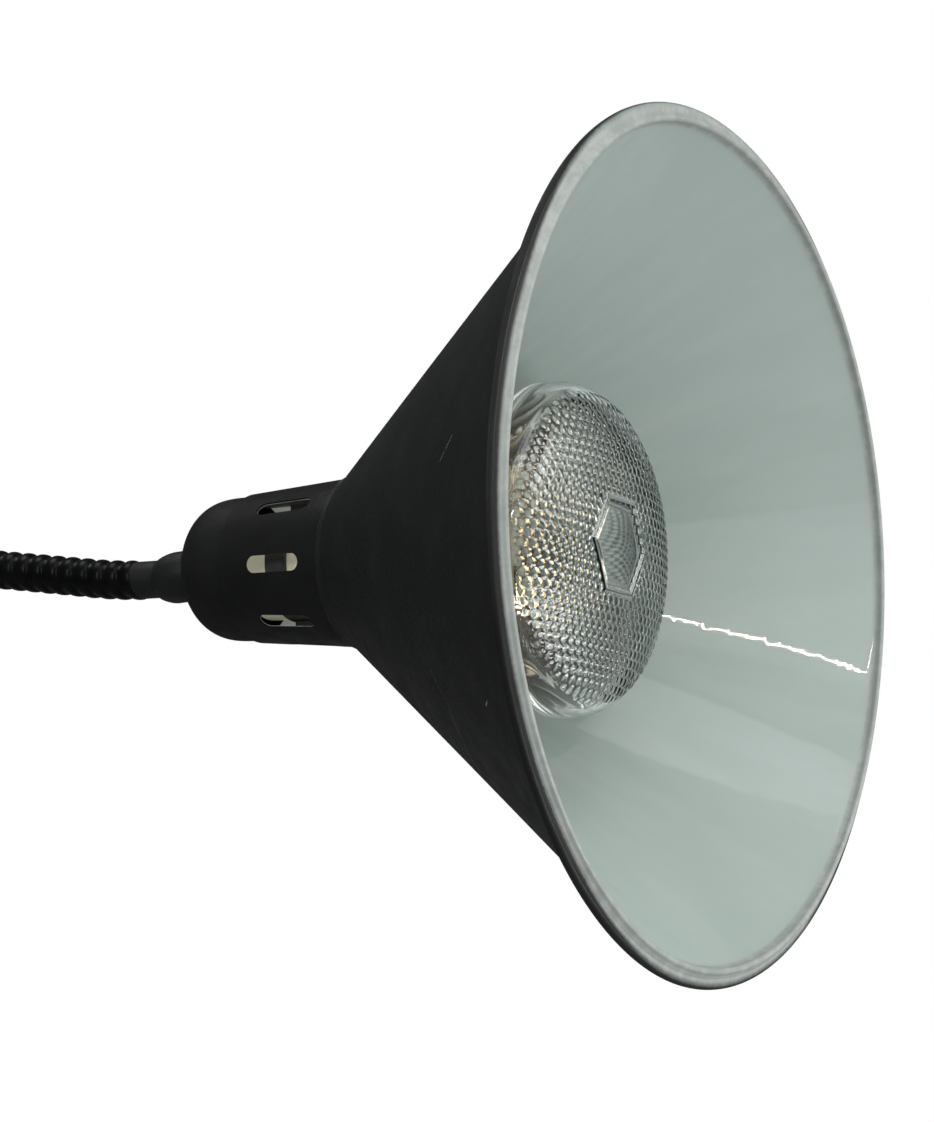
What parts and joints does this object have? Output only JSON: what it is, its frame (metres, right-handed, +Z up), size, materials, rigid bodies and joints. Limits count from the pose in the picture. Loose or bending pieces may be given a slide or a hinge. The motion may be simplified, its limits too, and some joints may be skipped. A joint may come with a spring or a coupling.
{
  "type": "heat lamp",
  "caption": "Cone-shaded heat lamp with a vented neck and a reflector bulb, on a flexible gooseneck arm with a threaded spigot at its base.",
  "frame": {"origin": "centre of the base flange's seat, at the root of the threaded spigot", "axes": "+Z up the arm's post, +X towards the shade's mouth, Y across; the spigot points along -Z"},
  "size_m": [0.4801, 0.305, 0.3897],
  "materials": {
    "shade_coat": "spun aluminium, matte black powder coat outside, light grey heat-proof coat inside",
    "arm_coat": "satin black coat over steel",
    "cable_sheath": "matte black rubber sheath",
    "zinc_steel": "zinc-plated steel",
    "dark_steel": "dark oxidised steel strap",
    "porcelain": "glazed cream porcelain, opaque",
    "brass": "plain brass",
    "brown_wire": "brown insulation",
    "blue_wire": "blue insulation",
    "green_wire": "green insulation",
    "lens_glass": "clear pressed glass with a dimpled face",
    "lamp_mirror": "pressed glass bowl, silvered inside",
    "stem_glass": "clear glass stem",
    "tungsten": "tungsten wire",
    "cap_metal": "nickel-plated cap",
    "cap_glass": "black glass insulator, opaque",
    "solder": "solder pad"
  },
  "bodies": {
    "base": {"base_fitting": "arm_coat", "base_set_screw": "zinc_steel", "gooseneck_section_1": "arm_coat", "supply_cable_1": "cable_sheath"},
    "arm_1": {"gooseneck_section_2": "arm_coat", "supply_cable_2": "cable_sheath"},
    "arm_2": {"gooseneck_section_3": "arm_coat", "supply_cable_3": "cable_sheath"},
    "arm_3": {"gooseneck_section_4": "arm_coat", "supply_cable_4": "cable_sheath"},
    "arm_4": {"gooseneck_section_5": "arm_coat", "supply_cable_5": "cable_sheath"},
    "arm_5": {"gooseneck_section_6": "arm_coat", "supply_cable_6": "cable_sheath"},
    "arm_6": {"gooseneck_section_7": "arm_coat", "supply_cable_7": "cable_sheath"},
    "arm_7": {"gooseneck_section_8": "arm_coat", "supply_cable_8": "cable_sheath"},
    "head": {"gooseneck_section_9": "arm_coat", "supply_cable_9": "cable_sheath", "arm_end_sleeve": "arm_coat", "arm_collar": "arm_coat", "arm_nipple": "zinc_steel", "spacer_nut": "zinc_steel", "lock_washer": "zinc_steel", "nipple_nut": "zinc_steel", "dome_cap": "shade_coat", "vented_neck": "shade_coat", "cone_shade": "shade_coat", "flange_screws": "zinc_steel", "flange_nuts": "zinc_steel", "mounting_strap": "dark_steel", "lampholder_body": "porcelain", "lampholder_front": "porcelain", "screw_shell": "brass", "holder_band": "dark_steel", "band_screws": "zinc_steel", "holder_terminals": "brass", "terminal_screws": "zinc_steel", "live_wire": "brown_wire", "neutral_wire": "blue_wire", "earth_wire": "green_wire", "earth_lug": "brass", "earth_screw": "zinc_steel", "earth_nut": "zinc_steel"},
    "contact": {"centre_contact": "brass"},
    "lamp": {"lamp_lens": "lens_glass", "lamp_reflector": "lamp_mirror", "lamp_stem": "stem_glass", "filament_supports": "tungsten", "filament": "tungsten", "lamp_cap_shell": "cap_metal", "lamp_cap_insulator": "cap_glass", "lamp_tip_contact": "solder"}
  },
  "joints": [
    {"name": "arm_pitch_1", "type": "hinge", "parent": "base", "child": "arm_1", "pos_m": [0, 0, 0.0359], "axis": [0, 1, 0], "range_deg": [-18, 15]},
    {"name": "arm_side_2", "type": "hinge", "parent": "arm_1", "child": "arm_2", "pos_m": [0, 0, 0.07971], "axis": [-1, 0, 0], "range_deg": [-15, 15]},
    {"name": "arm_pitch_3", "type": "hinge", "parent": "arm_2", "child": "arm_3", "pos_m": [0.00251, 0, 0.12334], "axis": [0, 1, 0], "range_deg": [-18, 15]},
    {"name": "arm_side_4", "type": "hinge", "parent": "arm_3", "child": "arm_4", "pos_m": [0.01997, 0, 0.1632], "axis": [-0.8185, 0, 0.5746], "range_deg": [-15, 15]},
    {"name": "arm_pitch_5", "type": "hinge", "parent": "arm_4", "child": "arm_5", "pos_m": [0.05153, 0, 0.19317], "axis": [0, 1, 0], "range_deg": [-18, 15]},
    {"name": "arm_side_6", "type": "hinge", "parent": "arm_5", "child": "arm_6", "pos_m": [0.09224, 0, 0.20856], "axis": [-0.1615, 0, 0.9869], "range_deg": [-15, 15]},
    {"name": "arm_pitch_7", "type": "hinge", "parent": "arm_6", "child": "arm_7", "pos_m": [0.13592, 0, 0.20846], "axis": [0, 1, 0], "range_deg": [-18, 15]},
    {"name": "arm_side_8", "type": "hinge", "parent": "arm_7", "child": "head", "pos_m": [0.17962, 0, 0.2054], "axis": [0.0698, 0, 0.9976], "range_deg": [-15, 15]},
    {"name": "lamp_advance", "type": "slide", "parent": "head", "child": "contact", "axis": [0.9986, 0, 0.0523], "range_m": [0, 0.0037]},
    {"name": "lamp_turn", "type": "hinge", "parent": "contact", "child": "lamp", "pos_m": [0.45416, 0, 0.21748], "axis": [0.9986, 0, 0.0523], "range_deg": [0, 360]}
  ],
  "couplings": [
    {"joint": "arm_pitch_3", "follows": "arm_pitch_1", "ratio": 1},
    {"joint": "arm_side_4", "follows": "arm_side_2", "ratio": 1},
    {"joint": "arm_pitch_5", "follows": "arm_pitch_1", "ratio": 1},
    {"joint": "arm_side_6", "follows": "arm_side_2", "ratio": 1},
    {"joint": "arm_pitch_7", "follows": "arm_pitch_1", "ratio": 1},
    {"joint": "arm_side_8", "follows": "arm_side_2", "ratio": 1},
    {"joint": "lamp_advance", "follows": "lamp_turn", "m_per_rad": 0.00057773}
  ]
}
